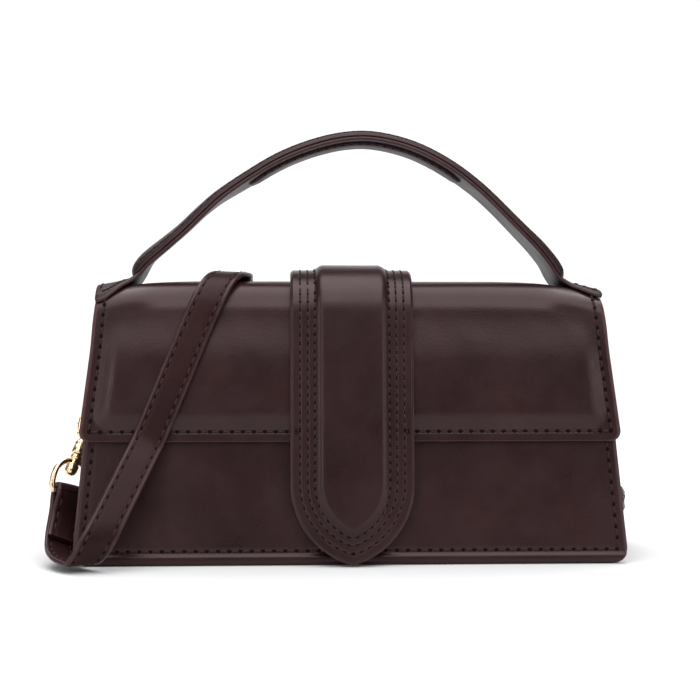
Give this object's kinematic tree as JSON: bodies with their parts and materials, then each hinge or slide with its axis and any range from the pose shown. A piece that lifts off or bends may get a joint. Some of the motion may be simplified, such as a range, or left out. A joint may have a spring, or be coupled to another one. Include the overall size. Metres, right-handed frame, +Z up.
{
  "type": "flap shoulder bag",
  "caption": "Structured leather flap bag with an arched top handle, a pointed centre tab and a flat shoulder strap on swivel snap hooks and D-rings.",
  "frame": {"origin": "centre of the bag's foot, on the surface it stands on", "axes": "+X to the bag's own left as the viewer sees its right side, +Y to the back, +Z up"},
  "size_m": [0.2648, 0.1332, 0.1914],
  "materials": {
    "leather": "smooth satin, dark brown",
    "grip_leather": "smooth satin, dark brown",
    "strap_leather": "smooth satin, dark brown, painted edges",
    "lining_fabric": "fine brown twill",
    "gold": "polished light gold plating",
    "board": "pressed fibre board"
  },
  "bodies": {
    "bag": {"front_panel": "leather", "back_panel": "leather", "left_gusset": "leather", "right_gusset": "leather", "bottom_panel": "leather", "base_board": "board", "lining": "lining_fabric", "slip_pocket": "lining_fabric", "magnet_front": "gold", "tab_back": "leather", "left_ring_tab": "leather", "right_ring_tab": "leather", "strap_left": "strap_leather", "strap_rear": "strap_leather"},
    "flap": {"flap_panel": "leather", "flap_lining": "lining_fabric", "tab_panel": "leather", "tab_lining": "lining_fabric", "magnet_tab": "gold", "handle_strip": "leather", "handle_cover": "leather", "handle_grip": "grip_leather", "strap_front": "strap_leather"},
    "left_ring": {"left_d_ring": "gold", "left_swivel_loop": "gold"},
    "left_snap_hook": {"left_hook": "gold"},
    "left_snap_gate": {"left_gate": "gold"},
    "right_ring": {"right_d_ring": "gold", "right_swivel_loop": "gold"},
    "right_snap_hook": {"right_hook": "gold"},
    "right_snap_gate": {"right_gate": "gold"}
  },
  "joints": [
    {"name": "flap_hinge", "type": "hinge", "parent": "bag", "child": "flap", "pos_m": [0, 0.03299, 0.1115], "axis": [-1, 0, 0], "range_deg": [0, 110], "deforming": ["strap_front"]},
    {"name": "left_ring_hinge", "type": "hinge", "parent": "bag", "child": "left_ring", "pos_m": [-0.1101, 0.0038, 0.0735], "axis": [0, 1, 0], "range_deg": [0, 25], "deforming": ["strap_left"]},
    {"name": "left_hook_swivel", "type": "hinge", "parent": "left_ring", "child": "left_snap_hook", "pos_m": [-0.12245, -0.0084, 0.04136], "axis": [0.2918, 0.4945, 0.8187], "range_deg": [-14, 14]},
    {"name": "left_gate_hinge", "type": "hinge", "parent": "left_snap_hook", "child": "left_snap_gate", "pos_m": [-0.12112, 0.00031, 0.05714], "axis": [-0.166, 0.8692, -0.4658], "range_deg": [0, 20], "stiffness_Nm_per_rad": 0.001, "springref_deg": -17.19},
    {"name": "right_ring_hinge", "type": "hinge", "parent": "bag", "child": "right_ring", "pos_m": [0.1101, 0.0038, 0.0735], "axis": [0, -1, 0], "range_deg": [0, 25], "deforming": ["strap_rear"]},
    {"name": "right_hook_swivel", "type": "hinge", "parent": "right_ring", "child": "right_snap_hook", "pos_m": [0.12165, 0.0088, 0.03956], "axis": [-0.2729, -0.2132, 0.9381], "range_deg": [-14, 14]},
    {"name": "right_gate_hinge", "type": "hinge", "parent": "right_snap_hook", "child": "right_snap_gate", "pos_m": [0.12106, 0.0053, 0.05607], "axis": [0.0596, -0.977, -0.2047], "range_deg": [0, 20], "stiffness_Nm_per_rad": 0.001, "springref_deg": -17.19}
  ]
}
